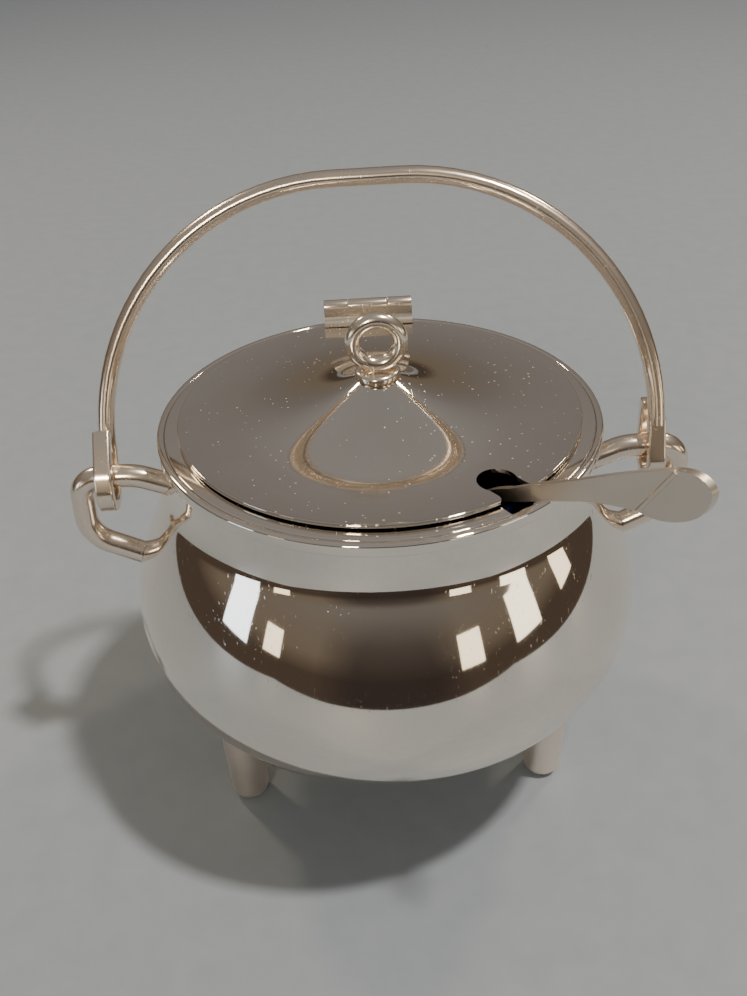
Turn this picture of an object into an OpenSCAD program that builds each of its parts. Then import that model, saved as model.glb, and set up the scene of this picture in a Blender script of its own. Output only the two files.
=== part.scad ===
// Mustard pot shaped like a small cauldron: three feet, a bail handle, a hinged lid, a glass liner and a spoon.
// Millimetres, +Z up, origin on the table under the pot's axis. The spoon side faces -Y and the hinge +Y.

/* [Pot] */
// Height of the rim's top above the table
rim_h = 58.6; // [56:0.2:62]
// Outer radius of the rim
rim_r = 29.4; // [28.6:0.2:30.2]
// Height of the rim's outer edge
rim_edge = 1.7; // [1.5:0.1:2.4]
// Rounding of the rim's outer edge
rim_round = 0.35; // [0.2:0.05:0.5]
// Width of the band left outside the flat ring
rim_band = 1; // [0.8:0.05:1.1]
// How far the neck stands in from the rim's edge
neck_in = 1.2; // [1:0.1:1.6]
// Radius of the neck's hollow
neck_arc = 7.7; // [6.5:0.1:9]
// How far the belly stands out beyond the rim
belly_out = 6.2; // [5.2:0.2:7.6]
// Depth of the widest part of the belly below the rim
belly_drop = 27; // [25:0.5:29]
// Depth of the pot's underside below the rim
pot_depth = 49.5; // [48:0.5:51]
// Radius of the curve just above the belly's widest part
belly_arc = 20; // [18:0.5:22]
// How far that curve turns before the shoulder, in degrees
belly_turn = 19; // [16:0.5:22]
// Radius of the flatter curve of the shoulder
shoulder_arc = 58; // [52:1:64]
// Radius of the curve below the belly
haunch_arc = 14.5; // [12:0.5:15.5]
// Thickness of the silver
wall = 1; // [0.8:0.05:1.2]

/* [Flat ring] */
// Thickness of the flat ring let into the rim
ring_t = 1.2; // [1:0.1:1.3]
// How far the ring reaches in under the lid
ring_lap = 1.6; // [1.2:0.1:1.9]
// Width of the ring's notch for the spoon
notch_w = 5.6; // [5:0.2:7]

/* [Feet] */
// Distance of each foot from the pot's axis
foot_place = 25.5; // [24.7:0.1:26.5]
// Bearing of the front left foot, in degrees
front_left_turn = -151.5; // [-154:0.5:-148]
// Bearing of the front right foot, in degrees
front_right_turn = -27; // [-32:0.5:-25]
// Bearing of the rear foot, in degrees
rear_turn = 91; // [88:0.5:93]
// Radius of a foot at its toe
toe_r = 2.8; // [2.4:0.1:3.1]
// Radius of a foot level with the belly
thigh_r = 4; // [3.5:0.1:4.4]
// Radius of the flat that a foot stands on
sole_r = 1; // [0.7:0.1:1.4]

/* [Ears] */
// Radius of the ears' rod
ear_rod_r = 1.6; // [1.4:0.05:1.7]
// Radius of an ear's bend next to the neck
ear_neck_bend = 8; // [6:0.5:9]
// Radius of an ear's upper outer bend
ear_bend = 3; // [2.4:0.1:3.2]
// Radius of an ear's lower outer bend
ear_low_bend = 5; // [4:0.5:6]
// Depth of the bail's pivot below the rim
pivot_drop = 7.6; // [7:0.1:8.4]
// Length of an ear's straight top, corner to corner
ear_top_l = 7.6; // [7.2:0.1:8]
// Fall of an ear's top towards the neck
ear_dip = 2.6; // [2:0.1:3]
// Height of an ear's outer side
ear_side_h = 9.5; // [8.5:0.1:10.5]
// How far an ear's outer side leans out
ear_side_out = 0.4; // [0.2:0.1:0.8]
// Fall of an ear's lower arm
ear_arm_fall = 4.7; // [4:0.1:5.2]
// How far an ear's lower arm runs in under the belly's line
ear_root_in = 3.1; // [2.8:0.1:3.6]

/* [Bail] */
// How far the bail stands out from the belly
bail_out = 1.9; // [1.7:0.1:2.2]
// Height of the bail's crown above its pivot
bail_rise = 37.4; // [36:0.2:42]
// Radius of the bail's two corners
bail_arc = 33; // [28:0.5:34]
// Thickness of the bail's wire across the hoop
wire_t = 2.3; // [2:0.1:2.5]
// Width of the bail's wire from front to back
wire_w = 2.9; // [2.6:0.1:3.2]
// Width of the flattened hook along the ear's rod
hook_w = 2.35; // [2:0.05:2.5]
// Thickness of the flattened hook
hook_t = 1.5; // [1.3:0.1:1.7]
// Running gap between a hook and its ear
hook_gap = 0.25; // [0.2:0.05:0.35]
// How far the hook hangs below a snug fit
hook_drop = 1.4; // [0.8:0.1:1.6]
// How far the hook's flat runs up into the wire
hook_lap = 1; // [0.8:0.1:1.4]
// Height of the hook's tail above the pivot
tail_h = 6.3; // [5:0.1:7]
// Lean of the hook's tail towards the wire, in degrees
tail_lean = 20; // [12:1:22]
// How far the bail leans back at rest, in degrees
bail_lean = 22.5; // [12:0.5:24]

/* [Lid] */
// How far the lid's edge stands in from the ring's edge
lid_inset = 1.8; // [1.5:0.1:2.1]
// Thickness of the lid
lid_t = 0.55; // [0.5:0.05:0.7]
// Gap between the ring and the lid
lid_gap = 0.3; // [0.2:0.05:0.4]
// Width of the lid's flat margin
flat_band = 6.6; // [6:0.1:7.2]
// Radius of the hollow curve that rises to the finial
flare_arc = 36; // [33:1:42]
// Radius of the lid's small flat top
peak_r = 2.5; // [2.2:0.1:2.8]
// Distance of the spoon hole's centre from the lid's edge
slot_in = 3.8; // [3.4:0.1:4.2]
// Radius of the spoon hole
slot_r = 2.45; // [2.3:0.05:2.6]
// Width of the passage from the hole to the lid's edge
throat_w = 4.4; // [4:0.1:4.6]
// Rounding of the passage's two outer corners
mouth_round = 1.3; // [1:0.1:1.6]
// Bearing of the spoon hole from +X towards -Y, in degrees
slot_turn = 55.5; // [50:0.5:60]

/* [Finial] */
// Radius of the beaded collar
collar_r = 3.05; // [2.8:0.05:3.3]
// Height of the beaded collar
collar_h = 1.2; // [1.1:0.05:1.5]
// Radius of the finial ring's middle line
loop_r = 3.06; // [2.8:0.02:3.4]
// Radius of the finial ring's rod
loop_rod_r = 1.02; // [0.9:0.02:1.2]
// How deep the finial ring sits in the collar
loop_sink = 0.4; // [0.3:0.05:0.5]

/* [Hinge] */
// Whole width of the hinge
hinge_w = 13.4; // [12:0.2:14]
// Width of the lid's knuckle
mid_w = 5.9; // [5.4:0.1:6.4]
// Radius of the knuckles
knuckle_r = 1.05; // [1:0.05:1.15]
// Radius of the hinge pin
pin_r = 0.5; // [0.4:0.05:0.55]
// Height of the hinge's axis above the rim
hinge_up = 2.75; // [2.6:0.05:3.2]
// Gap between neighbouring knuckles
knuckle_gap = 0.1; // [0.05:0.05:0.15]
// Thickness of the hinge's leaves
leaf_t = 0.7; // [0.6:0.05:0.8]

/* [Liner] */
// Gap between the liner and the ring's inner edge
liner_gap = 0.6; // [0.4:0.1:1]
// Thickness of the liner's wall
glass_t = 1.2; // [1:0.1:1.5]
// Thickness of the liner's base
glass_base = 2; // [1.6:0.1:2.4]
// Depth of the liner's lip below the rim
liner_drop = 3; // [2.6:0.1:4]
// Radius of the liner's bottom corner
liner_corner = 9; // [7:0.5:11]

/* [Spoon] */
// Thickness of the spoon's metal
spoon_t = 1; // [0.8:0.05:1.2]
// Width of the spoon's stem
stem_w = 2.15; // [1.9:0.05:2.3]
// Width of the handle's rounded end
blade_w = 5.4; // [5:0.1:5.8]
// Length of the handle outside the rim
handle_l = 27.3; // [25:0.1:28.5]
// Length of plain stem outside the rim
plain_l = 6; // [5:0.5:7]
// Rise of the handle, in degrees
handle_tilt = 27; // [25:0.5:28]
// Length of straight stem inside the rim, to its corner
reach_l = 10; // [8:0.5:12]
// Slope of the stem below its corner, in degrees
drop_tilt = 62; // [59:1:66]
// Radius of the stem's corner
stem_bend = 16; // [12:0.5:18]
// Radius of the spoon's bowl
bowl_r = 5; // [4.4:0.1:5.4]
// Depth of the spoon's bowl
bowl_h = 2.2; // [1.9:0.1:2.6]
// Thickness of the spoon's bowl
bowl_t = 0.9; // [0.7:0.05:1]

/* [Fits] */
// Solder line between fixed pieces
solder = 0.03; // [0.02:0.01:0.05]
// Pin fit in the pot's knuckles, on the radius
pin_snug = 0.02; // [0.01:0.01:0.04]
// Pin fit in the lid's knuckle, on the radius
pin_run = 0.05; // [0.03:0.01:0.08]
// Gap between pieces that swing past each other
swing_gap = 0.2; // [0.15:0.05:0.25]
// Gap under pieces that rest on each other
rest_gap = 0.05; // [0.03:0.01:0.1]
// Lift of the spoon over the rim and over the liner's floor
spoon_lift = 0.2; // [0.15:0.05:0.3]

/* [Hidden] */
$fn = 96;
arc_n = 8;
edge_n = 4;
over = 1;
bend_lap = 0.1;
bend_swell = 1.012;
silver = [0.78, 0.76, 0.73];
pale_silver = [0.84, 0.82, 0.79];
blue_glass = [0.09, 0.12, 0.3];

// Pot: five arcs that run into each other, from the underside up to the neck
neck_r = rim_r - neck_in;
belly_r = rim_r + belly_out;
belly_z = rim_h - belly_drop;
base_k = pot_depth - belly_drop;
haunch_x = belly_r - haunch_arc;
base_arc = (haunch_x ^ 2 + base_k ^ 2 - haunch_arc ^ 2) / (2 * (base_k - haunch_arc));
base_c = rim_h - pot_depth + base_arc;
base_a = atan2(belly_z - base_c, haunch_x);
belly_c = [belly_r - belly_arc, belly_z];
shoulder_c = belly_c + (belly_arc - shoulder_arc) * [cos(belly_turn), sin(belly_turn)];
neck_x = neck_r + neck_arc;
neck_z = shoulder_c[1] + sqrt((shoulder_arc + neck_arc) ^ 2 - (neck_x - shoulder_c[0]) ^ 2);
neck_a = atan2(neck_z - shoulder_c[1], neck_x - shoulder_c[0]);

// Rim, ring and lid stand one inside the other
ring_out = rim_r - rim_band;
lid_r = ring_out - lid_inset;
ring_in = lid_r - ring_lap;
ring_bed = rim_h - ring_t;
lid_z = rim_h + lid_gap;
lid_top = lid_z + lid_t;
flare_r = lid_r - flat_band;
flare_c = [flare_r, lid_top + flare_arc];
flare_a = asin((flare_r - peak_r) / flare_arc);
peak_z = lid_top + flare_arc * (1 - cos(flare_a));
slot_place = lid_r - slot_in;

// Finial above the lid's peak
collar_z = peak_z + solder;
loop_z = collar_z + collar_h - loop_sink + loop_r + loop_rod_r;

// Bail and ears share the pivot line
pivot_z = rim_h - pivot_drop;
bail_span = belly_r + bail_out;
hook_in = ear_rod_r + hook_gap;
hook_out = hook_in + hook_t;
hook_mid = hook_in + hook_t / 2;
hook_twist = asin(hook_mid / bail_span);
hook_x = bail_span * cos(hook_twist);
leg_start = hook_out - hook_gap;
tail_l = (tail_h - hook_mid * sin(tail_lean)) / cos(tail_lean);
tail_step = tail_l * [sin(tail_lean), cos(tail_lean)];
ear_path = [[neck_r - ear_rod_r / 2, pivot_z - ear_dip], [hook_x - ear_top_l / 2, pivot_z],
  [hook_x + ear_top_l / 2, pivot_z], [hook_x + ear_top_l / 2 + ear_side_out, pivot_z - ear_side_h],
  [belly_r - ear_root_in, pivot_z - ear_side_h - ear_arm_fall]];
hoop_path = [[-bail_span, leg_start], [-bail_span, bail_rise], [bail_span, bail_rise], [bail_span, leg_start]];

// Hinge at the back of the rim
hinge_y = ring_out - swing_gap;
hinge_z = rim_h + hinge_up;
end_w = (hinge_w - mid_w) / 2 - knuckle_gap;
lid_leaf_y = hinge_y - knuckle_r - swing_gap;

// Liner stands on the pot's curved floor by its bottom corner
liner_r = ring_in - liner_gap;
corner_x = liner_r - liner_corner;
corner_z = base_c - sqrt((base_arc - wall - liner_corner - rest_gap) ^ 2 - corner_x ^ 2);
liner_z = corner_z - liner_corner;
liner_top = rim_h - liner_drop;
floor_z = liner_z + glass_base;

// Spoon: one flat outline that stands on edge through the slot
along = [cos(handle_tilt), sin(handle_tilt)];
across = [-sin(handle_tilt), cos(handle_tilt)];
fulcrum = [ring_out, rim_h] + (stem_w / 2 + spoon_lift) * across;
stem_corner = fulcrum - reach_l * along;
bowl_arc = (bowl_r ^ 2 + bowl_h ^ 2) / (2 * bowl_h);
bowl_z = floor_z + spoon_lift;
stem_drop = stem_corner[1] - bowl_z - bowl_h / 2;
stem_end = stem_corner - [stem_drop / tan(drop_tilt), stem_drop];
bowl_x = stem_end[0] - bowl_r + stem_w / 2;

function arc(c, r, a0, a1, n, skip) =
  [for (i = [skip:n]) c + r * [cos(a0 + (a1 - a0) * i / n), sin(a0 + (a1 - a0) * i / n)]];

function reversed(v) = [for (i = [len(v) - 1:-1:0]) v[i]];

// Outline of the pot from the axis up to the neck, moved out by grow
function pot_line(grow) = concat(
  arc([0, base_c], base_arc + grow, -90, base_a, arc_n, 0),
  arc([haunch_x, belly_z], haunch_arc + grow, base_a, 0, arc_n, 1),
  arc(belly_c, belly_arc + grow, 0, belly_turn, arc_n, 1),
  arc(shoulder_c, shoulder_arc + grow, belly_turn, neck_a, arc_n, 1),
  arc([neck_x, neck_z], neck_arc - grow, 180 + neck_a, 180, arc_n, 1));

// How far a path turns at a corner, in degrees, left turns positive
function turn_at(path, i) = let (
    a = path[i] - path[i - 1],
    b = path[i + 1] - path[i])
  atan2(a[0] * b[1] - a[1] * b[0], a * b);

// How far before a corner its bend starts
function cut_at(path, i, bend) = bend * tan(abs(turn_at(path, i)) / 2);

// A bar of the children's section along a flat path, with the given bend at each corner.
// The straight runs end a little way inside the bends, which are a hair thicker, as in bent metal.
module bent_bar(path, bends) {
  for (i = [0:len(path) - 2]) {
    step = path[i + 1] - path[i];
    a = atan2(step[1], step[0]);
    start = i == 0 ? 0 : cut_at(path, i, bends[i - 1]) - bend_lap;
    stop = i == len(path) - 2 ? 0 : cut_at(path, i + 1, bends[i]) - bend_lap;
    translate(path[i])
      rotate(a)
        translate([start, 0, 0])
          rotate([90, 0, 90])
            linear_extrude(norm(step) - start - stop) children();
  }
  for (i = [1:len(path) - 2]) {
    bend = bends[i - 1];
    step = path[i] - path[i - 1];
    a = atan2(step[1], step[0]);
    t = turn_at(path, i);
    side = sign(t);
    centre = path[i] - cut_at(path, i, bend) * [cos(a), sin(a)] + side * bend * [-sin(a), cos(a)];
    translate(centre)
      rotate(t > 0 ? a - 90 : a + t + 90)
        rotate_extrude(angle = abs(t))
          translate([bend, 0])
            scale(bend_swell) children();
  }
}

// The pot filled solid, a solder line larger, to trim what is soldered onto it
module pot_mass() {
  rotate_extrude()
    polygon(concat(pot_line(solder), [[0, neck_z]]));
}

// A rod along X through the hinge's axis
module hinge_rod(r, w, x = 0) {
  translate([x, hinge_y, hinge_z])
    rotate([0, 90, 0])
      cylinder(r = r, h = w, center = true);
}

module body() {
  edge_x = rim_r - rim_round;
  lip_x = ring_out + solder;
  color(silver)
    rotate_extrude()
      polygon(concat(
        pot_line(0),
        [[neck_r, rim_h - rim_edge]],
        arc([edge_x, rim_h - rim_edge + rim_round], rim_round, -90, 0, edge_n, 0),
        arc([edge_x, rim_h - rim_round], rim_round, 0, 90, edge_n, 0),
        [[lip_x, rim_h], [lip_x, ring_bed], [neck_r - wall, ring_bed]],
        reversed(pot_line(-wall))));
}

module rim_ring() {
  color(silver)
    difference() {
      translate([0, 0, ring_bed + solder])
        cylinder(r = ring_out, h = ring_t - solder);
      translate([0, 0, ring_bed - over])
        cylinder(r = ring_in, h = ring_t + 2 * over);
      rotate(-slot_turn)
        translate([0, -notch_w / 2, ring_bed - over])
          cube([rim_r, notch_w, ring_t + 2 * over]);
    }
}

module ear() {
  difference() {
    rotate([90, 0, 0])
      bent_bar(ear_path, [ear_neck_bend, ear_bend, ear_low_bend])
        circle(ear_rod_r);
    pot_mass();
  }
}

module left_ear() {
  color(silver)
    rotate(180)
      ear();
}

module right_ear() {
  color(silver)
    ear();
}

module foot(bearing) {
  toe_round = toe_r - sole_r;
  difference() {
    rotate(bearing)
      translate([foot_place, 0, 0])
        rotate_extrude()
          polygon(concat([[0, 0]], arc([sole_r, toe_round], toe_round, -90, 0, arc_n, 0),
            [[thigh_r, belly_z], [0, belly_z]]));
    pot_mass();
  }
}

module front_left_foot() {
  color(pale_silver)
    foot(front_left_turn);
}

module front_right_foot() {
  color(pale_silver)
    foot(front_right_turn);
}

module rear_foot() {
  color(pale_silver)
    foot(rear_turn);
}

module liner() {
  inner_r = liner_r - glass_t;
  inner_corner = liner_corner - glass_t;
  lip_c = [liner_r - glass_t / 2, liner_top - glass_t / 2];
  color(blue_glass)
    rotate_extrude()
      polygon(concat(
        [[0, liner_z]],
        arc([corner_x, corner_z], liner_corner, -90, 0, arc_n, 0),
        arc(lip_c, glass_t / 2, 0, 180, arc_n, 0),
        arc([inner_r - inner_corner, floor_z + inner_corner], inner_corner, 0, -90, arc_n, 0),
        [[0, floor_z]]));
}

module body_hinge_leaf() {
  color(silver)
    difference() {
      translate([-hinge_w / 2, hinge_y - leaf_t / 2, rim_h + solder])
        cube([hinge_w, leaf_t, hinge_up]);
      hinge_rod(knuckle_r + solder, hinge_w + 2 * over);
      hinge_rod(knuckle_r + swing_gap, mid_w + 2 * knuckle_gap);
      translate([-hinge_w, hinge_y - leaf_t, hinge_z])
        cube([2 * hinge_w, 2 * leaf_t, hinge_up]);
    }
}

module body_knuckle(side) {
  color(silver)
    difference() {
      hinge_rod(knuckle_r, end_w, side * (hinge_w - end_w) / 2);
      hinge_rod(pin_r + pin_snug, hinge_w + 2 * over);
    }
}

module body_knuckle_left() {
  body_knuckle(-1);
}

module body_knuckle_right() {
  body_knuckle(1);
}

module hinge_pin() {
  color(silver)
    hinge_rod(pin_r, hinge_w);
}

module lid() {
  mouth_back = 0.8 * mouth_round;
  mouth_x = sqrt(lid_r ^ 2 - (throat_w / 2 + mouth_round) ^ 2) - mouth_back;
  color(silver)
    difference() {
      rotate_extrude()
        polygon(concat(
          [[0, peak_z]],
          arc(flare_c, flare_arc, -90 - flare_a, -90, arc_n, 0),
          [[lid_r, lid_top], [lid_r, lid_z]],
          arc(flare_c, flare_arc + lid_t, -90, -90 - flare_a, arc_n, 0),
          [[0, peak_z - lid_t * cos(flare_a)]]));
      rotate(-slot_turn)
        translate([0, 0, lid_z - over])
          linear_extrude(lid_t + 2 * over) {
            translate([slot_place, 0]) circle(slot_r);
            translate([slot_place, -throat_w / 2]) square([lid_r, throat_w]);
            difference() {
              translate([mouth_x, -throat_w / 2 - mouth_round])
                square([lid_r, throat_w + 2 * mouth_round]);
              for (side = [-1, 1])
                translate([mouth_x, side * (throat_w / 2 + mouth_round)]) circle(mouth_round);
            }
          }
    }
}

module finial_loop(r) {
  translate([0, 0, loop_z])
    rotate([90, 0, 0])
      rotate_extrude()
        translate([loop_r, 0]) circle(r);
}

module finial_collar() {
  color(silver)
    difference() {
      translate([0, 0, collar_z])
        rotate_extrude()
          polygon(concat([[0, 0]], arc([collar_r - collar_h / 2, collar_h / 2], collar_h / 2, -90, 90, arc_n, 0),
            [[0, collar_h]]));
      finial_loop(loop_rod_r + solder);
    }
}

module finial_ring() {
  color(silver)
    finial_loop(loop_rod_r);
}

module lid_hinge_leaf() {
  foot_w = 2 * leaf_t;
  color(silver)
    difference() {
      union() {
        translate([-hinge_w / 2, lid_leaf_y - leaf_t, lid_top + solder])
          cube([hinge_w, leaf_t, hinge_z + leaf_t / 2 - lid_top - solder]);
        translate([-hinge_w / 2, lid_leaf_y - leaf_t - foot_w, lid_top + solder])
          cube([hinge_w, foot_w, leaf_t / 2]);
        translate([-mid_w / 2, lid_leaf_y - leaf_t / 2, hinge_z - leaf_t / 2])
          cube([mid_w, knuckle_r + swing_gap, leaf_t]);
      }
      hinge_rod(knuckle_r + solder, hinge_w + 2 * over);
    }
}

module lid_knuckle() {
  color(silver)
    difference() {
      hinge_rod(knuckle_r, mid_w);
      hinge_rod(pin_r + pin_run, hinge_w + 2 * over);
    }
}

// One hook: the flattened wire comes down behind the ear's rod, turns under it and closes as a tail in front
module hook() {
  low = [0, -hook_drop];
  close_a = -180 - tail_lean;
  outer = concat(arc(low, hook_out, 0, -180, 2 * arc_n, 0), arc([0, 0], hook_out, -180, close_a, edge_n, 0));
  inner = concat(arc([0, 0], hook_in, close_a, -180, edge_n, 0), arc(low, hook_in, -180, 0, 2 * arc_n, 0));
  rotate([90, 0, 90])
    linear_extrude(hook_w, center = true)
      polygon(concat([[hook_out, leg_start + hook_lap]], outer,
        [outer[len(outer) - 1] + tail_step, inner[0] + tail_step], inner, [[hook_in, leg_start + hook_lap]]));
}

module bail() {
  color(silver)
    translate([0, 0, pivot_z])
      rotate([-bail_lean, 0, 0]) {
        rotate(-hook_twist)
          rotate([90, 0, 0])
            bent_bar(hoop_path, [bail_arc, bail_arc]) {
              square([wire_t, wire_w - wire_t], center = true);
              for (side = [-1, 1])
                translate([0, side * (wire_w - wire_t) / 2]) circle(wire_t / 2);
            }
        translate([-hook_x, 0, 0])
          hook();
        translate([hook_x, 0, 0])
          rotate(180)
            hook();
      }
}

// A cap of the sphere of radius r about the bowl's centre, up to the bowl's brim
module bowl_cap(r) {
  a = acos((bowl_arc - bowl_h) / r);
  translate([bowl_x, 0, bowl_z])
    rotate_extrude()
      polygon(concat(arc([0, bowl_arc], r, -90, a - 90, arc_n, 0), [[0, bowl_h]]));
}

module spoon() {
  tip_s = handle_l - blade_w / 2;
  root_w = stem_w * bend_swell;
  blade_start = fulcrum + (plain_l + bend_lap) * along;
  color(silver)
    rotate(-slot_turn)
      difference() {
        union() {
          rotate([90, 0, 0]) {
            bent_bar([blade_start, stem_corner, stem_end], [stem_bend])
              square([stem_w, spoon_t], center = true);
            translate(fulcrum)
              rotate(handle_tilt)
                linear_extrude(spoon_t * bend_swell, center = true) {
                  polygon([[plain_l, -root_w / 2], [tip_s, -blade_w / 2], [tip_s, blade_w / 2], [plain_l, root_w / 2]]);
                  translate([tip_s, 0]) circle(blade_w / 2);
                }
          }
          bowl_cap(bowl_arc);
        }
        bowl_cap(bowl_arc - bowl_t);
      }
}

body();
rim_ring();
left_ear();
right_ear();
front_left_foot();
front_right_foot();
rear_foot();
liner();
body_hinge_leaf();
body_knuckle_left();
body_knuckle_right();
hinge_pin();
lid();
finial_collar();
finial_ring();
lid_hinge_leaf();
lid_knuckle();
bail();
spoon();
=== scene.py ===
# Mustard pot shaped like a small cauldron, dressed piece by piece in the order in which it is put together.
# Drawn sizes are in millimetres and turned into Blender's metres by mm.
import math

import bpy
from mathutils import Matrix, Vector


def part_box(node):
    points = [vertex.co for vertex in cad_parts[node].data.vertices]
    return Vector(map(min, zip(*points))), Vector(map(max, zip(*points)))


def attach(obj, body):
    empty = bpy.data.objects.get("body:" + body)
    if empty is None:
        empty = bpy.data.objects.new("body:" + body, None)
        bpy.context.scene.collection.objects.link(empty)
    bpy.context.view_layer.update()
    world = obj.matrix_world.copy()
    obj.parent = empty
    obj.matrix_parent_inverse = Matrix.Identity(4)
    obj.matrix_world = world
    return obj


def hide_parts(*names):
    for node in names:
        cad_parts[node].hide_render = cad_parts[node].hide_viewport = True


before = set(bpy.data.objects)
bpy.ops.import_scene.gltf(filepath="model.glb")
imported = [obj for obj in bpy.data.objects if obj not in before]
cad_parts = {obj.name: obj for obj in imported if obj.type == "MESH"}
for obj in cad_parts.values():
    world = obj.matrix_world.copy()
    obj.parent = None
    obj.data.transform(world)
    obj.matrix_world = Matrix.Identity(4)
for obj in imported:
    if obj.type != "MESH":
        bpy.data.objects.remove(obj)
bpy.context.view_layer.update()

# Pot
# The pot is raised from silver sheet: a round belly, a hollow neck and a thick rim bedded for the flat ring.
# It is polished bright, with the hair scratches and the slight unevenness of old hand polishing.
mm = 0.001
touching = 0.001 * mm
smooth_below = math.radians(35)
solder_gap = 0.03
rim_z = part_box("body")[1].z / mm
base_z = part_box("body")[0].z / mm
belly_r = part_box("body")[1].x / mm
rim_r = 29.4
rim_edge = 1.7
rim_round = 0.35
rim_fillet = 0.2
lip_round = 0.12
ring_r = 28.4
ring_t = 1.2
neck_r = 28.2
neck_arc = 7.7
belly_drop = 27
belly_z = rim_z - belly_drop
belly_arc = 20
belly_turn = 19
shoulder_arc = 58
haunch_arc = 14.5
wall = 1
belly_c = Vector((belly_r - belly_arc, belly_z))
belly_end = Vector((math.cos(math.radians(belly_turn)), math.sin(math.radians(belly_turn))))
shoulder_c = belly_c + (belly_arc - shoulder_arc) * belly_end
neck_x = neck_r + neck_arc
neck_z = shoulder_c.y + math.sqrt((shoulder_arc + neck_arc) ** 2 - (neck_x - shoulder_c.x) ** 2)
neck_a = math.degrees(math.atan2(neck_z - shoulder_c.y, neck_x - shoulder_c.x))


def arc(centre, radius, start, stop, count):
    """Points along an arc, from one angle to another in degrees."""
    angles = [math.radians(start + (stop - start) * i / count) for i in range(count + 1)]
    return [(centre[0] + radius * math.cos(a), centre[1] + radius * math.sin(a)) for a in angles]


def drawn(name, outline):
    """A new mesh whose points are drawn one after another in the XZ plane, left in edit mode."""
    bpy.ops.object.select_all(action="DESELECT")
    bpy.ops.mesh.primitive_plane_add(size=mm)
    piece = bpy.context.object
    piece.name = name
    bpy.ops.object.mode_set(mode="EDIT")
    bpy.ops.mesh.select_all(action="SELECT")
    bpy.ops.mesh.merge(type="CENTER")
    bpy.ops.transform.translate(value=(outline[0][0] * mm, 0, outline[0][1] * mm))
    for (x0, z0), (x1, z1) in zip(outline, outline[1:]):
        step = ((x1 - x0) * mm, 0, (z1 - z0) * mm)
        bpy.ops.mesh.extrude_vertices_move(TRANSFORM_OT_translate={"value": step})
    bpy.ops.mesh.select_all(action="SELECT")
    return piece


def closed(piece):
    """Merges doubles, turns the faces outwards, leaves edit mode and smooths all but the sharp edges."""
    bpy.ops.mesh.select_all(action="SELECT")
    bpy.ops.mesh.remove_doubles(threshold=touching)
    bpy.ops.mesh.normals_make_consistent(inside=False)
    bpy.ops.object.mode_set(mode="OBJECT")
    bpy.ops.object.shade_smooth_by_angle(angle=smooth_below)
    return piece


def turned(name, outline, steps=240):
    """A round piece: half its outline drawn in the XZ plane and spun about the Z axis."""
    piece = drawn(name, outline)
    bpy.ops.mesh.spin(steps=steps, angle=2 * math.pi, center=(0, 0, 0), axis=(0, 0, 1))
    return closed(piece)


def chosen(piece):
    """Selects one piece alone and makes it the active one."""
    bpy.ops.object.select_all(action="DESELECT")
    piece.select_set(True)
    bpy.context.view_layer.objects.active = piece


def placed(piece, location=(0, 0, 0), turn=(0, 0, 0)):
    """Moves and turns a piece, in millimetres and degrees, and puts its place into its mesh."""
    chosen(piece)
    piece.location = [c * mm for c in location]
    piece.rotation_euler = [math.radians(a) for a in turn]
    bpy.ops.object.transform_apply(location=True, rotation=True, scale=True)
    return piece


def joined(piece, tool, operation, keep_tool=False):
    """Cuts a piece with another, or fuses the two, and smooths the result again."""
    chosen(piece)
    cut = piece.modifiers.new("cut", "BOOLEAN")
    cut.operation = operation
    cut.object = tool
    bpy.ops.object.modifier_apply(modifier=cut.name)
    bpy.ops.object.shade_smooth_by_angle(angle=smooth_below)
    if not keep_tool:
        bpy.data.objects.remove(tool)
    return piece


def pot_line(grow):
    """The pot's outline from the axis to the neck: five arcs that run into each other, moved out by grow."""
    depth = belly_z - base_z
    haunch_x = belly_r - haunch_arc
    base_arc = (haunch_x**2 + depth**2 - haunch_arc**2) / (2 * (depth - haunch_arc))
    base_c = base_z + base_arc
    base_a = math.degrees(math.atan2(belly_z - base_c, haunch_x))
    return (
        arc((0, base_c), base_arc + grow, -90, base_a, 28)
        + arc((haunch_x, belly_z), haunch_arc + grow, base_a, 0, 24)[1:]
        + arc(belly_c, belly_arc + grow, 0, belly_turn, 12)[1:]
        + arc(shoulder_c, shoulder_arc + grow, belly_turn, neck_a, 16)[1:]
        + arc((neck_x, neck_z), neck_arc - grow, 180 + neck_a, 180, 16)[1:]
    )


def wired(tree, kind, **sockets):
    """A new shader node. Each socket, named or numbered as _0, takes a value or the output that feeds it."""
    node = tree.nodes.new(kind)
    for name, value in sockets.items():
        socket = node.inputs[int(name[1:])] if name[1:].isdigit() else node.inputs[name.replace("_", " ")]
        if isinstance(value, bpy.types.NodeSocket):
            tree.links.new(value, socket)
        else:
            socket.default_value = value
    return node


def hair_scratches(tree, place, turn, density, share):
    """A mask of fine straight scratches, at one angle in degrees, over a share of the surface."""
    stretch = wired(tree, "ShaderNodeMapping", Vector=place, Rotation=[math.radians(a) for a in turn])
    stretch.inputs["Scale"].default_value = (density, density * 0.02, density * 0.3)
    noise = wired(tree, "ShaderNodeTexNoise", Vector=stretch.outputs[0], Scale=1, Detail=2)
    mask = tree.nodes.new("ShaderNodeMapRange")
    tree.links.new(noise.outputs[0], mask.inputs["Value"])
    mask.inputs["From Min"].default_value = 0.78 - share
    mask.inputs["From Max"].default_value = 0.82 - share
    return mask.outputs[0]


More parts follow.
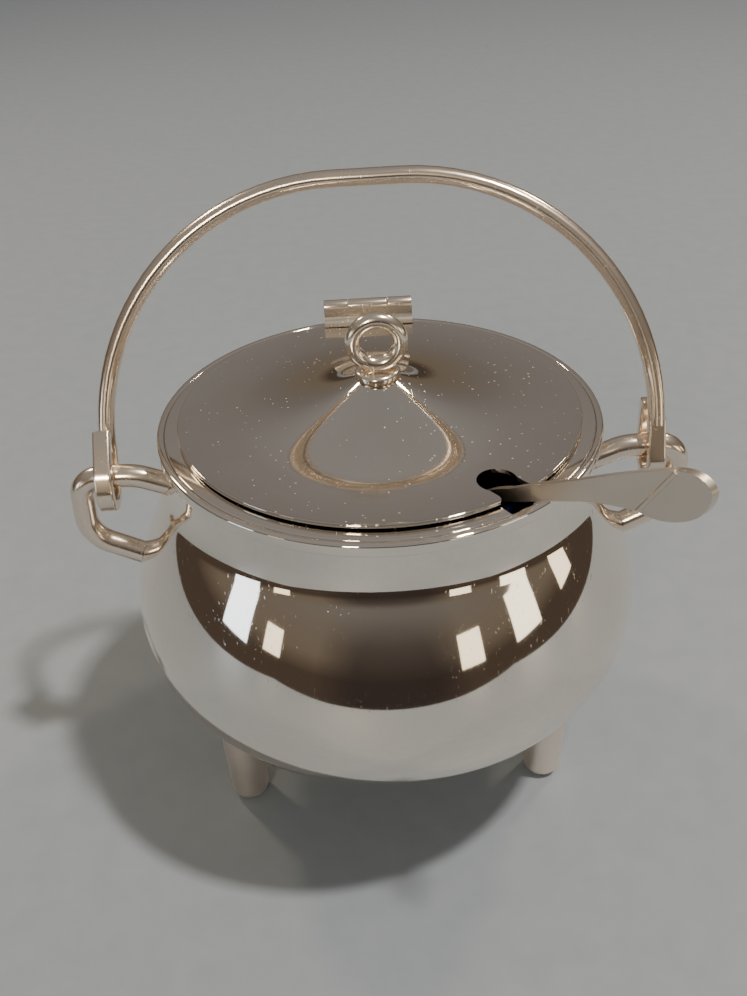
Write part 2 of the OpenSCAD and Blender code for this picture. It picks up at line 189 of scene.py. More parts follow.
def silver(name, tint, polish, scratched, dusty=0.1, rings=0):
    """Polished silver with hair scratches, uneven polish, dust specks and, if spun, fine turning rings."""
    material = bpy.data.materials.new(name)
    material.use_nodes = True
    tree = material.node_tree
    shader = tree.nodes["Principled BSDF"]
    shader.inputs["Metallic"].default_value = 1
    place = tree.nodes.new("ShaderNodeTexCoord").outputs["Object"]
    cloud = wired(tree, "ShaderNodeTexNoise", Vector=place, Scale=140, Detail=4)
    first = hair_scratches(tree, place, (20, 35, 25), 5200, 0.08)
    second = hair_scratches(tree, place, (70, 10, 115), 4300, 0.06)
    marks = wired(tree, "ShaderNodeMath", _0=first, _1=second)
    marks.operation = "MAXIMUM"
    specks = wired(tree, "ShaderNodeTexVoronoi", Vector=place, Scale=900)
    drift = wired(tree, "ShaderNodeMath", _0=cloud.outputs[0], _1=0.3, _2=dusty * 0.06 - 0.09)
    drift.operation = "MULTIPLY_ADD"
    dust = wired(tree, "ShaderNodeMath", _0=specks.outputs["Distance"], _1=drift.outputs[0])
    dust.operation = "LESS_THAN"
    rough = wired(tree, "ShaderNodeMath", _0=marks.outputs[0], _1=scratched, _2=polish)
    rough.operation = "MULTIPLY_ADD"
    dull = wired(tree, "ShaderNodeMath", _0=cloud.outputs[0], _1=polish * 0.8, _2=rough.outputs[0])
    dull.operation = "MULTIPLY_ADD"
    spotted = wired(tree, "ShaderNodeMath", _0=dust.outputs[0], _1=dusty, _2=dull.outputs[0])
    spotted.operation = "MULTIPLY_ADD"
    tree.links.new(spotted.outputs[0], shader.inputs["Roughness"])
    tarnish = (0.97, 0.93, 0.86)
    warm = [c * k for c, k in zip(tint, tarnish)]
    colour = tree.nodes.new("ShaderNodeMix")
    colour.data_type = "RGBA"
    colour.inputs[6].default_value = (*tint, 1)
    colour.inputs[7].default_value = (*warm, 1)
    tree.links.new(cloud.outputs[0], colour.inputs[0])
    tree.links.new(colour.outputs[2], shader.inputs["Base Color"])
    height = marks.outputs[0]
    if rings:
        flat = wired(tree, "ShaderNodeVectorMath", _0=place, _1=(1, 1, 0))
        flat.operation = "MULTIPLY"
        radius = wired(tree, "ShaderNodeVectorMath", _0=flat.outputs[0])
        radius.operation = "LENGTH"
        turning = tree.nodes.new("ShaderNodeTexNoise")
        turning.noise_dimensions = "1D"
        turning.inputs["Scale"].default_value = 2600
        tree.links.new(radius.outputs["Value"], turning.inputs["W"])
        both = wired(tree, "ShaderNodeMath", _0=turning.outputs[0], _1=rings, _2=height)
        both.operation = "MULTIPLY_ADD"
        height = both.outputs[0]
    bump = wired(tree, "ShaderNodeBump", Height=height, Strength=0.12, Distance=0.02 * mm)
    tree.links.new(bump.outputs[0], shader.inputs["Normal"])
    return material


def fitted(piece, material, body, slot, *nodes):
    """Gives a piece its material, hangs it on the body it rides on and hides the solids it stands for."""
    piece.data.materials.clear()
    piece.data.materials.append(material)
    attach(piece, body)
    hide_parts(*nodes)


bright_silver = silver("bright_silver", (0.91, 0.87, 0.82), 0.03, 0.1)
edge_c = rim_r - rim_round
lip_r = ring_r + solder_gap
lip_c = lip_r + lip_round
fillet_z = rim_z - rim_edge - rim_fillet
pot = turned(
    "pot",
    pot_line(0)
    + arc((neck_r + rim_fillet, fillet_z), rim_fillet, 180, 90, 4)
    + arc((edge_c, rim_z - rim_edge + rim_round), rim_round, -90, 0, 8)
    + arc((edge_c, rim_z - rim_round), rim_round, 0, 90, 8)
    + arc((lip_c, rim_z - lip_round), lip_round, 90, 180, 4)
    + [(lip_r, rim_z - ring_t), (neck_r - wall, rim_z - ring_t)]
    + pot_line(-wall)[::-1],
)
fitted(pot, bright_silver, "pot", "polished_silver", "body")

# Flat ring
# A flat silver ring is let into the rim flush with its top, and the lid closes on it.
# It is sawn through on the spoon's side, where the stem passes.
slot_turn = -55.5
notch_w = 5.6
ring_in = 25.0
ring_edge = 0.1
ring_low = rim_z - ring_t + solder_gap
flat_ring = turned(
    "flat_ring",
    arc((ring_in + ring_edge, rim_z - ring_edge), ring_edge, 180, 90, 3)
    + [(ring_in + 2 * ring_edge, rim_z), (ring_r - 2 * ring_edge, rim_z)]
    + arc((ring_r - ring_edge, rim_z - ring_edge), ring_edge, 90, 0, 3)
    + [(ring_r, ring_low), (ring_in, ring_low), (ring_in, rim_z - ring_edge)],
)
bpy.ops.object.select_all(action="DESELECT")
bpy.ops.mesh.primitive_cube_add(size=1)
saw = bpy.context.object
saw.scale = (rim_r * mm, notch_w * mm, 4 * ring_t * mm)
bpy.ops.object.transform_apply(scale=True)
placed(saw, (rim_r / 2, 0, rim_z))
placed(saw, turn=(0, 0, slot_turn))
joined(flat_ring, saw, "DIFFERENCE")
fitted(flat_ring, bright_silver, "pot", "polished_silver", "rim_ring")

# Ears
# Each ear is a round silver rod bent into a loop and soldered to the neck and to the shoulder.
# The bail hangs on its straight top.
rod_silver = silver("rod_silver", (0.89, 0.79, 0.69), 0.15, 0.12)
ear_rod_r = 1.6
ear_neck_bend = 8
ear_bend = 3
ear_low_bend = 5
ear_top_l = 7.6
ear_neck_drop = 2.6
ear_spread = 0.4
ear_side_l = 9.5
ear_root_in = 3.1
ear_root_drop = 14.2
pivot_drop = 7.6
pivot_z = rim_z - pivot_drop
hook_gap = 0.25
hook_t = 1.5
hook_mid = ear_rod_r + hook_gap + hook_t / 2
bail_clear = 1.9
bail_span = belly_r + bail_clear
hook_twist = math.degrees(math.asin(hook_mid / bail_span))
hook_x = bail_span * math.cos(math.radians(hook_twist))
ear_in = hook_x - ear_top_l / 2
ear_out = hook_x + ear_top_l / 2
ear_path = [
    (neck_r - ear_rod_r / 2, pivot_z - ear_neck_drop),
    (ear_in, pivot_z),
    (ear_out, pivot_z),
    (ear_out + ear_spread, pivot_z - ear_side_l),
    (belly_r - ear_root_in, pivot_z - ear_root_drop),
]
ear_bends = [ear_neck_bend, ear_bend, ear_low_bend]


def bent_bar(name, path, bends, thick, wide, sides=32):
    """A bar along a path in the XZ plane: straight runs are extruded and each corner spun to its bend."""
    points = [Vector((x, 0, z)) * mm for x, z in path]
    runs = [(b - a).normalized() for a, b in zip(points, points[1:])]
    bpy.ops.object.select_all(action="DESELECT")
    bpy.ops.mesh.primitive_circle_add(vertices=sides, radius=mm)
    bar = bpy.context.object
    bar.name = name
    if sides == 4:
        bar.rotation_euler = (0, 0, math.pi / 4)
        bpy.ops.object.transform_apply(rotation=True)
    reach = math.sqrt(2) if sides == 4 else 1
    bar.scale = (thick / 2 * reach, wide / 2 * reach, 1)
    bar.rotation_euler = (0, math.atan2(runs[0].x, runs[0].z), 0)
    bar.location = points[0]
    bpy.ops.object.transform_apply(location=True, rotation=True, scale=True)
    bpy.ops.object.mode_set(mode="EDIT")
    bpy.ops.mesh.select_all(action="SELECT")
    here = points[0]
    for corner, before, after, bend in zip(points[1:], runs, runs[1:], bends):
        turn = math.atan2(before.x * after.z - before.z * after.x, before.dot(after))
        cut = bend * mm * math.tan(abs(turn) / 2)
        stop = corner - cut * before
        bpy.ops.mesh.extrude_region_move(TRANSFORM_OT_translate={"value": stop - here})
        centre = stop + math.copysign(bend * mm, turn) * Vector((-before.z, 0, before.x))
        steps = max(4, round(math.degrees(abs(turn)) / 4))
        bpy.ops.mesh.spin(steps=steps, angle=turn, center=centre, axis=(0, 1, 0))
        here = corner + cut * after
    bpy.ops.mesh.extrude_region_move(TRANSFORM_OT_translate={"value": points[-1] - here})
    bpy.ops.mesh.select_all(action="SELECT")
    bpy.ops.mesh.remove_doubles(threshold=touching)
    bpy.ops.mesh.fill_holes(sides=0)
    return closed(bar)


pot_mass = turned("pot_mass", pot_line(solder_gap) + [(0, neck_z)], 160)
for side, turn in (("left", 180), ("right", 0)):
    ear = bent_bar(side + "_ear_loop", ear_path, ear_bends, 2 * ear_rod_r, 2 * ear_rod_r)
    placed(ear, turn=(0, 0, turn))
    joined(ear, pot_mass, "DIFFERENCE", keep_tool=True)
    fitted(ear, rod_silver, "pot", "polished_silver", side + "_ear")

# Feet
# Three cast peg feet, round-toed and slightly tapered, are soldered under the belly.
# They are paler and less polished than the pot.
foot_place = 25.5
toe_r = 2.8
thigh_r = 4
sole_r = 1
toe_round = toe_r - sole_r
soft_silver = silver("soft_silver", (0.88, 0.81, 0.75), 0.3, 0.12)
for name, bearing in (("front_left", -151.5), ("front_right", -27), ("rear", 91)):
    foot = turned(
        name + "_peg_foot",
        [(0, 0)]
        + arc((sole_r, toe_round), toe_round, -90, 0, 10)
        + [(thigh_r, belly_z), (0, belly_z)],
        64,
    )
    placed(foot, (foot_place, 0, 0))
    placed(foot, turn=(0, 0, bearing))
    joined(foot, pot_mass, "DIFFERENCE", keep_tool=True)
    fitted(foot, soft_silver, "pot", "soft_silver", name + "_foot")
bpy.data.objects.remove(pot_mass)

# Liner
# A dark blue glass cup holds the mustard and stands on the pot's curved floor by its rounded bottom corner.
# It is blown and fire-polished at the lip.
liner_low, liner_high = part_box("liner")
liner_r = liner_high.x / mm
liner_z = liner_low.z / mm
glass_t = 1.2
glass_base = 2
liner_corner = 9
cup_corner = liner_corner - glass_t
cup_r = liner_r - glass_t
blue_glass = bpy.data.materials.new("blue_glass")
blue_glass.use_nodes = True
glass_tree = blue_glass.node_tree
glass = glass_tree.nodes["Principled BSDF"]
glass.inputs["Transmission Weight"].default_value = 0.85
glass.inputs["Roughness"].default_value = 0.04
glass_place = glass_tree.nodes.new("ShaderNodeTexCoord").outputs["Object"]
glass_flow = wired(glass_tree, "ShaderNodeTexNoise", Vector=glass_place, Scale=60, Detail=2)
glass_colour = glass_tree.nodes.new("ShaderNodeMix")
glass_colour.data_type = "RGBA"
glass_colour.inputs[6].default_value = (0.006, 0.011, 0.05, 1)
glass_colour.inputs[7].default_value = (0.012, 0.022, 0.09, 1)
glass_tree.links.new(glass_flow.outputs[0], glass_colour.inputs[0])
glass_tree.links.new(glass_colour.outputs[2], glass.inputs["Base Color"])
glass_bump = wired(glass_tree, "ShaderNodeBump", Height=glass_flow.outputs[0], Strength=0.1)
glass_bump.inputs["Distance"].default_value = 0.1 * mm
glass_tree.links.new(glass_bump.outputs[0], glass.inputs["Normal"])
liner = turned(
    "glass_liner",
    [(0, liner_z)]
    + arc((liner_r - liner_corner, liner_z + liner_corner), liner_corner, -90, 0, 16)
    + arc((liner_r - glass_t / 2, liner_high.z / mm - glass_t / 2), glass_t / 2, 0, 180, 12)
    + arc((cup_r - cup_corner, liner_z + glass_base + cup_corner), cup_corner, 0, -90, 16)
    + [(0, liner_z + glass_base)],
    160,
)
fitted(liner, blue_glass, "pot", "blue_glass", "liner")

# Hinge on the pot
# A small silver leaf stands on the rim and carries the two outer barrels.
# A drawn wire pin runs through all three barrels. Its ends are filed flush and just show as rings.
hinge_low, hinge_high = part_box("hinge_pin")
hinge_y = (hinge_low.y + hinge_high.y) / 2 / mm
hinge_z = (hinge_low.z + hinge_high.z) / 2 / mm
hinge_w = (hinge_high.x - hinge_low.x) / mm
knuckle_r = 1.05
knuckle_round = 0.12
pin_r = 0.5
pin_chamfer = 0.1
pin_fit = 0.02
pin_play = 0.05
leaf_round = 0.1
wire_silver = silver("wire_silver", (0.8, 0.77, 0.73), 0.12, 0.1)
hinge_silver = silver("hinge_silver", (0.94, 0.86, 0.76), 0.13, 0.12)


def softened(piece, width, segments=3, angle=30):
    """Breaks the edges of a piece that turn by more than an angle in degrees, and smooths it again."""
    chosen(piece)
    edge = piece.modifiers.new("edge", "BEVEL")
    edge.width = width * mm
    edge.segments = segments
    edge.angle_limit = math.radians(angle)
    bpy.ops.object.modifier_apply(modifier=edge.name)
    bpy.ops.object.shade_smooth_by_angle(angle=smooth_below)
    return piece


def plate(name, low, high):
    """A flat plate between two corners, in metres, with its edges broken."""
    bpy.ops.object.select_all(action="DESELECT")
    bpy.ops.mesh.primitive_cube_add(size=1)
    sheet = bpy.context.object
    sheet.name = name
    sheet.scale = high - low
    sheet.location = (low + high) / 2
    bpy.ops.object.transform_apply(location=True, rotation=True, scale=True)
    return softened(sheet, leaf_round)


def barrel(name, node, bore):
    """A hinge barrel over a knuckle's solid: a bored tube with rounded ends, laid along X."""
    low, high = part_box(node)
    half = (high.x - low.x) / 2 / mm
    outline = (
        [(bore, -half), (knuckle_r - knuckle_round, -half)]
        + arc((knuckle_r - knuckle_round, -half + knuckle_round), knuckle_round, -90, 0, 4)
        + arc((knuckle_r - knuckle_round, half - knuckle_round), knuckle_round, 0, 90, 4)
        + [(bore, half), (bore, -half)]
    )
    tube = turned(name, outline, 48)
    placed(tube, ((low.x + high.x) / 2 / mm, hinge_y, hinge_z), (0, 90, 0))
    return tube


pot_leaf = plate("pot_hinge_leaf", *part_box("body_hinge_leaf"))
fitted(pot_leaf, hinge_silver, "pot", "polished_silver", "body_hinge_leaf")
for side in ("left", "right"):
    knuckle = barrel("pot_barrel_" + side, "body_knuckle_" + side, pin_r + pin_fit)
    fitted(knuckle, hinge_silver, "pot", "polished_silver", "body_knuckle_" + side)
pin = turned(
    "hinge_wire",
    [(0, -hinge_w / 2), (pin_r - pin_chamfer, -hinge_w / 2), (pin_r, pin_chamfer - hinge_w / 2)]
    + [(pin_r, hinge_w / 2 - pin_chamfer), (pin_r - pin_chamfer, hinge_w / 2), (0, hinge_w / 2)],
    32,
)
placed(pin, (0, hinge_y, hinge_z), (0, 90, 0))
fitted(pin, wire_silver, "pot", "pin_wire", "hinge_pin")

# Lid
# A thin spun silver disc, slightly dished at its margin and rising in a hollow curve to a small flat top.
# A keyhole for the spoon is cut through the margin, with a rounded mouth at the edge.
lid_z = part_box("lid")[0].z / mm
lid_t = 0.55
lid_r = 26.6
lid_edge = 0.12
lid_top = lid_z + lid_t
peak_r = 2.5
peak_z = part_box("lid")[1].z / mm
dish_w = 5.6
dish_r = lid_r - dish_w
dish_arc = 95
dish_start = 0.9
dish_a = math.degrees(math.asin(dish_w / dish_arc))
edge_trim = 0.1
dish_stop = dish_a - 90 - edge_trim
dish_c = Vector((dish_r, lid_top + dish_arc * math.cos(math.radians(dish_a))))
join_way = Vector((math.sin(math.radians(dish_start)), math.cos(math.radians(dish_start))))
rise = Vector((peak_r, peak_z)) - dish_c
flare_step = (dish_arc**2 - rise.length_squared) / (2 * (rise.dot(join_way) + dish_arc))
flare_arc = dish_arc - flare_step
flare_c = dish_c - flare_step * join_way
flare_a = math.degrees(math.asin((flare_c.x - peak_r) / flare_arc))
slot_in = 3.8
slot_place = lid_r - slot_in
slot_r = 2.45
throat_w = 4.4
mouth_round = 1.3
mouth_in = 0.8 * mouth_round
keyhole_cut = 8 * lid_t


def slab(name, outline, depth):
    """A flat piece: its outline drawn in the XZ plane, filled, and drawn out along Y."""
    piece = drawn(name, outline)
    bpy.ops.mesh.remove_doubles(threshold=touching)
    bpy.ops.mesh.edge_face_add()
    bpy.ops.mesh.extrude_region_move(TRANSFORM_OT_translate={"value": (0, depth * mm, 0)})
    return closed(piece)


spun_silver = silver("spun_silver", (0.82, 0.78, 0.74), 0.03, 0.16, dusty=0.4, rings=0.4)
lid = turned(
    "lid_disc",
    [(0, peak_z)]
    + arc(flare_c, flare_arc, -90 - flare_a, -90 - dish_start, 48)
    + arc(dish_c, dish_arc, -90 - dish_start, dish_stop, 32)[1:]
    + arc((lid_r - lid_edge, lid_top - lid_edge), lid_edge, 90, 0, 3)
    + arc((lid_r - lid_edge, lid_z + lid_edge), lid_edge, 0, -90, 3)
    + arc(dish_c, dish_arc + lid_t, dish_stop, -90 - dish_start, 24)
    + arc(flare_c, flare_arc + lid_t, -90 - dish_start, -90 - flare_a, 32)[1:]
    + [(0, peak_z - lid_t)],
)
mouth_x = math.sqrt(lid_r**2 - (throat_w / 2 + mouth_round) ** 2) - mouth_in
throat_meet = math.degrees(math.asin(throat_w / 2 / slot_r))
keyhole_half = (
    arc((slot_place, 0), slot_r, 180, throat_meet, 32)
    + [(mouth_x, throat_w / 2)]
    + arc((mouth_x, throat_w / 2 + mouth_round), mouth_round, -90, 0, 10)
    + [(rim_r, throat_w / 2 + mouth_round)]
)
keyhole = slab("keyhole", keyhole_half + [(x, -y) for x, y in keyhole_half[::-1]], keyhole_cut)
placed(keyhole, (0, 0, lid_top - keyhole_cut / 2), (90, 0, slot_turn))
joined(lid, keyhole, "DIFFERENCE")
fitted(lid, spun_silver, "lid", "polished_silver", "lid")

# Finial
# A beaded collar and an upright ring, soldered one on the other, lift the lid.
# The ring is round rod and faces the front.
collar_low, collar_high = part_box("finial_collar")
collar_r = collar_high.x / mm
collar_z = collar_low.z / mm
collar_h = (collar_high.z - collar_low.z) / mm
loop_low, loop_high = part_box("finial_ring")
loop_rod_r = (loop_high.y - loop_low.y) / 2 / mm
loop_r = (loop_high.x - loop_low.x) / 2 / mm - loop_rod_r
loop_z = (loop_high.z + loop_low.z) / 2 / mm
bead = collar_h / 2
collar = turned(
    "beaded_collar",
    [(0, collar_z)] + arc((collar_r - bead, collar_z + bead), bead, -90, 90, 16) + [(0, collar_z + collar_h)],
    96,
)
fitted(collar, hinge_silver, "lid", "polished_silver", "finial_collar")
loop = turned("lifting_ring", arc((loop_r, 0), loop_rod_r, 0, 360, 36), 120)
placed(loop, (0, 0, loop_z), (90, 0, 0))
fitted(loop, hinge_silver, "lid", "polished_silver", "finial_ring")

# Hinge on the lid
# An upright silver leaf, hollowed down to a narrow foot, is soldered across the lid's back edge.
# A short web carries the middle barrel, which turns on the pin.
leaf_low, leaf_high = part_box("lid_hinge_leaf")
leaf_t = 0.7
leaf_gap = 0.2
leaf_back = hinge_y - knuckle_r - leaf_gap
leaf_front = leaf_back - leaf_t
leaf_z = leaf_low.z / mm
leaf_top = leaf_high.z / mm
foot_front = leaf_low.y / mm
foot_t = 0.15
cove_r = leaf_front - foot_front
upright = slab(
    "lid_hinge_plate",
    [(foot_front, leaf_z)]
    + arc((foot_front, leaf_z + foot_t + cove_r), cove_r, -90, 0, 12)
    + [(leaf_front, leaf_top), (leaf_back, leaf_top), (leaf_back, leaf_z)],
    (leaf_high.x - leaf_low.x) / mm,
)
placed(upright, (leaf_high.x / mm, 0, 0), (0, 0, 90))
web_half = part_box("lid_knuckle")[1].x
web_in = 0.6 * knuckle_r
web_low = Vector((-web_half, (leaf_back - leaf_t / 2) * mm, (hinge_z - leaf_t / 2) * mm))
web_high = Vector((web_half, (hinge_y - web_in) * mm, (hinge_z + leaf_t / 2) * mm))
joined(upright, plate("leaf_web", web_low, web_high), "UNION")
fitted(upright, hinge_silver, "lid", "polished_silver", "lid_hinge_leaf")
mid_barrel = barrel("lid_barrel", "lid_knuckle", pin_r + pin_play)
fitted(mid_barrel, hinge_silver, "lid", "polished_silver", "lid_knuckle")

# Bail
# The handle is one oval silver wire bent into a broad hoop. Its flattened ends hook round the ears' tops.
# The left end hooks forward and the right end back, so the hoop is turned a little. It rests leaning back.
bail_rise = 37.4
bail_arc = 33
bail_lean = 22.5
wire_t = 2.3
wire_w = 2.9
hook_w = 2.35
hook_drop = 1.4
hook_lap = 1
hook_round = 0.3
tail_h = 6.3
tail_lean = 20
leg_start = ear_rod_r + hook_t
bail = bent_bar(
    "bail_hoop",
    [(-bail_span, leg_start), (-bail_span, bail_rise), (bail_span, bail_rise), (bail_span, leg_start)],
    [bail_arc, bail_arc],
    wire_t,
    wire_w,
)
placed(bail, turn=(0, 0, -hook_twist))
hook_in = hook_mid - hook_t / 2
hook_out = hook_mid + hook_t / 2
tail_l = (tail_h - hook_mid * math.sin(math.radians(tail_lean))) / math.cos(math.radians(tail_lean))
tail_run = Vector((math.sin(math.radians(tail_lean)), math.cos(math.radians(tail_lean)))) * tail_l
close_a = -180 - tail_lean
hook_outer = arc((0, -hook_drop), hook_out, 0, -180, 36) + arc((0, 0), hook_out, -180, close_a, 6)
hook_inner = arc((0, 0), hook_in, close_a, -180, 6) + arc((0, -hook_drop), hook_in, -180, 0, 36)
hook_line = (
    [(hook_out, leg_start + hook_lap)]
    + hook_outer
    + [Vector(hook_outer[-1]) + tail_run, Vector(hook_inner[0]) + tail_run]
    + hook_inner
    + [(hook_in, leg_start + hook_lap)]
)
for side in (-1, 1):
    hook = slab("hook", hook_line, hook_w)
    placed(hook, (0, -hook_w / 2, 0))
    softened(hook, hook_round, angle=60)
    placed(hook, (side * hook_x, 0, 0), (0, 0, -90 * side))
    joined(bail, hook, "UNION")
placed(bail, (0, 0, pivot_z), (-bail_lean, 0, 0))
fitted(bail, rod_silver, "bail", "polished_silver", "bail")

# Spoon
# The mustard spoon is forged from one piece of silver: a leaf-ended handle, a thin stem and a round bowl.
# A raised crease slants across the leaf. The spoon stands on edge through the keyhole,
# with its stem across the rim and its bowl on the liner's floor.
spoon_t = 1
stem_w = 2.15
stem_slim = 1.6
stem_t = 0.98
handle_tilt = 27
reach_l = 10
drop_tilt = 62
stem_bend = 22
bowl_r = 5
bowl_h = 2.2
bowl_t = 0.9
spoon_lift = 0.2
stem_lift = 0.65
crease_w = 0.6
crease_out = 0.08
spoon_round = 0.2
spoon_silver = silver("spoon_silver", (0.72, 0.67, 0.61), 0.24, 0.16, dusty=0.2)
along = Vector((math.cos(math.radians(handle_tilt)), math.sin(math.radians(handle_tilt))))
across = Vector((-along.y, along.x))
fulcrum = Vector((ring_r, rim_z)) + (stem_w / 2 + stem_lift) * across
stem_corner = fulcrum - reach_l * along
bowl_z = liner_z + glass_base + spoon_lift
stem_drop = stem_corner.y - bowl_z - bowl_h / 2
stem_end = stem_corner - Vector((stem_drop / math.tan(math.radians(drop_tilt)), stem_drop))
bowl_x = stem_end.x - bowl_r + stem_w / 2
bowl_arc = (bowl_r**2 + bowl_h**2) / (2 * bowl_h)
brim_out = math.degrees(math.asin(bowl_r / bowl_arc))
brim_in = math.degrees(math.acos((bowl_arc - bowl_h) / (bowl_arc - bowl_t)))
crease_line = [(17.1, -1.7), (23.5, 2.4)]
leaf_under = [(-2, -1.07), (0.5, -1.02), (3, -0.96), (5.4, -0.91), (9.6, -0.88), (12.3, -1.06), (14.9, -1.4)]
leaf_under += [(17, -1.84), (18.5, -2.4), (20, -2.76), (22.1, -2.82), (24.3, -2.42), (26, -1.46)]
leaf_over = [(27, -0.2), (26.9, 0.95), (26.1, 1.8), (25, 2.3), (23.6, 2.52), (21.6, 2.53), (19, 2.4)]
leaf_over += [(15, 2.12), (11.9, 1.8), (8.6, 1.48), (4.8, 1.22), (3, 1.1), (0.5, 0.84), (-2, 0.55)]


def flowing(points, steps):
    """A smooth line through the points."""
    ends = [Vector(p) for p in (points[0], *points, points[-1])]
    line = []
    for a, b, c, d in zip(ends, ends[1:], ends[2:], ends[3:]):
        for t in (i / steps for i in range(steps)):
            bowed = (2 * a - 5 * b + 4 * c - d) * t**2 + (3 * b - a - 3 * c + d) * t**3
            line.append((2 * b + (c - a) * t + bowed) / 2)
    return line + [ends[-1]]


blade = slab("blade", flowing(leaf_under + leaf_over, 5), spoon_t)
placed(blade, (0, -spoon_t / 2, 0))
crease = bent_bar("crease", crease_line, [], crease_w, crease_w, sides=16)
placed(crease, (0, crease_out - spoon_t / 2, 0))
joined(blade, crease, "UNION")
placed(blade, (fulcrum.x, 0, fulcrum.y), (0, -handle_tilt, 0))
slim_step = (stem_w - stem_slim) / 2 * across
stem_path = [fulcrum - slim_step, stem_corner - slim_step, stem_end]
spoon = bent_bar("mustard_spoon", stem_path, [stem_bend], stem_slim, stem_t, sides=4)
joined(spoon, blade, "UNION")
bowl = turned(
    "bowl",
    arc((0, bowl_z + bowl_arc), bowl_arc, -90, brim_out - 90, 20)
    + arc((0, bowl_z + bowl_arc), bowl_arc - bowl_t, brim_in - 90, -90, 20),
    64,
)
placed(bowl, (bowl_x, 0, 0))
joined(spoon, bowl, "UNION")
softened(spoon, spoon_round, segments=2, angle=50)
placed(spoon, turn=(0, 0, slot_turn))
fitted(spoon, spoon_silver, "spoon", "spoon_silver", "spoon")

# Table
# The pot stands on a plain pale table top with a faint grain.
# It ends a little in front of the pot, so the belly mirrors the dark room beyond it as well.
table_w = 660
table_front = -300
table_back = 900
bpy.ops.object.select_all(action="DESELECT")
bpy.ops.mesh.primitive_plane_add(size=mm)
table = bpy.context.object
table.name = "table"
table.scale = (table_w, table_back - table_front, 1)
placed(table, (0, (table_front + table_back) / 2, 0))
pale_top = bpy.data.materials.new("pale_top")
pale_top.use_nodes = True
top_tree = pale_top.node_tree
top = top_tree.nodes["Principled BSDF"]
top.inputs["Roughness"].default_value = 0.6
top_place = top_tree.nodes.new("ShaderNodeTexCoord").outputs["Object"]
top_grain = wired(top_tree, "ShaderNodeTexNoise", Vector=top_place, Scale=220, Detail=5)
top_colour = top_tree.nodes.new("ShaderNodeMix")
top_colour.data_type = "RGBA"
top_colour.inputs[6].default_value = (0.19, 0.222, 0.262, 1)
top_colour.inputs[7].default_value = (0.23, 0.262, 0.302, 1)
top_tree.links.new(top_grain.outputs[0], top_colour.inputs[0])
top_tree.links.new(top_colour.outputs[2], top.inputs["Base Color"])
table.data.materials.append(pale_top)

# Studio
# A warm lamp stands high on the right, with one small warm light in front and two behind.
# Soft panels stand low round the front and sides, all warm but a cool one on the left.
# The room is brown at eye level, darkest straight in front, and a lighter warm grey higher up.
lamps = {
    "lamp": ((591, -234, 1518), 110, 29, (1, 0.9, 0.78)),
    "left_panel": ((-480, -190, 95), 120, 0.16, (0.8, 0.88, 1)),
    "left_front_panel": ((-400, -330, 85), 70, 0.035, (1, 0.86, 0.66)),
    "right_front_panel": ((270, -440, 85), 90, 0.06, (1, 0.86, 0.62)),
    "right_panel": ((430, -270, 95), 120, 0.12, (1, 0.9, 0.7)),
    "side_panel": ((510, -60, 85), 90, 0.06, (1, 0.84, 0.6)),
    "front_light": ((-150, -470, 300), 60, 0.9, (1, 0.86, 0.64)),
    "back_left_light": ((-330, 360, 420), 60, 1, (1, 0.8, 0.55)),
    "back_right_light": ((360, 330, 460), 60, 1, (1, 0.8, 0.55)),
}
aim = Vector((0, 0, 40)) * mm
for name, (spot, size, power, colour) in lamps.items():
    light = bpy.data.lights.new(name, "AREA")
    light.size = size * mm
    light.energy = power
    light.color = colour
    holder = bpy.data.objects.new(name, light)
    holder.location = Vector(spot) * mm
    holder.rotation_euler = (aim - holder.location).to_track_quat("-Z", "Y").to_euler()
    bpy.context.scene.collection.objects.link(holder)
world = bpy.data.worlds.new("room")
world.use_nodes = True
bpy.context.scene.world = world
room = world.node_tree
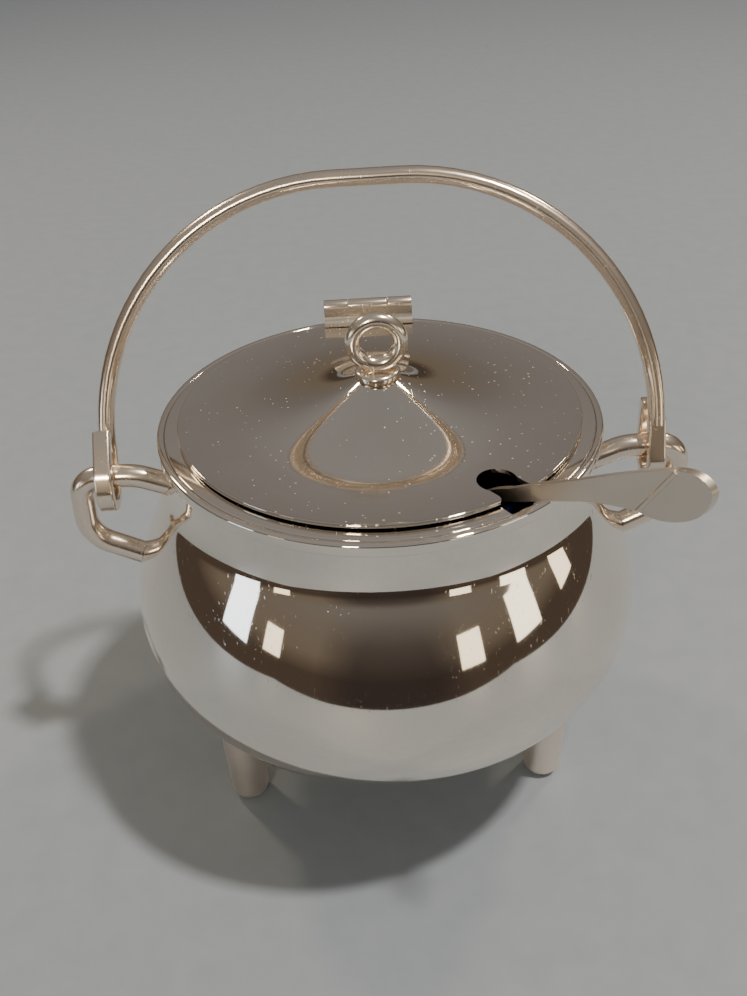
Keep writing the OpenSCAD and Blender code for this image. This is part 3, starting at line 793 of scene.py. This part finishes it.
sight = room.nodes.new("ShaderNodeTexCoord").outputs["Generated"]
parts = wired(room, "ShaderNodeSeparateXYZ", Vector=sight)
ceiling = [(0.4, (0.18, 0.162, 0.148)), (0.7, (0.28, 0.267, 0.255)), (1, (0.26, 0.25, 0.24))]
walls = [(0, (0.07, 0.05, 0.036)), (0.1, (0.165, 0.13, 0.094)), (0.28, (0.172, 0.147, 0.12))]
front = [(0, (0.04, 0.03, 0.026)), (0.18, (0.08, 0.064, 0.054))]
around = room.nodes.new("ShaderNodeMix")
around.data_type = "RGBA"
for socket, shades in ((6, front + ceiling), (7, walls + ceiling)):
    sky = wired(room, "ShaderNodeValToRGB", Fac=parts.outputs["Z"])
    while len(sky.color_ramp.elements) < len(shades):
        sky.color_ramp.elements.new(0.5)
    for stop, (height, shade) in zip(sky.color_ramp.elements, shades):
        stop.position = height
        stop.color = (*shade, 1)
    room.links.new(sky.outputs[0], around.inputs[socket])
beside = wired(room, "ShaderNodeMapRange", Value=parts.outputs["Y"], From_Min=-0.96, From_Max=-0.84)
room.links.new(beside.outputs[0], around.inputs[0])
room.links.new(around.outputs[2], room.nodes["Background"].inputs["Color"])

# Camera
# It looks down on the pot from the front as in the photograph, turned and tilted a little.
azimuth = math.radians(-1.78)
elevation = math.radians(34.77)
roll = math.radians(-2.48)
camera_place = Vector((-5.0, -121.3, 129.0)) * mm
outward = Vector((math.sin(azimuth), -math.cos(azimuth), 0))
back = math.cos(elevation) * outward + math.sin(elevation) * Vector((0, 0, 1))
level = Vector((math.cos(azimuth), math.sin(azimuth), 0))
upward = back.cross(level)
right = math.cos(roll) * level + math.sin(roll) * upward
up = back.cross(right)
lens = bpy.data.cameras.new("camera")
lens.lens = 37.95
lens.sensor_width = 36
lens.clip_start = 10 * mm
camera = bpy.data.objects.new("camera", lens)
facing = Matrix((right, up, back)).transposed().to_4x4()
camera.matrix_world = Matrix.Translation(camera_place) @ facing
bpy.context.scene.collection.objects.link(camera)
bpy.context.scene.camera = camera
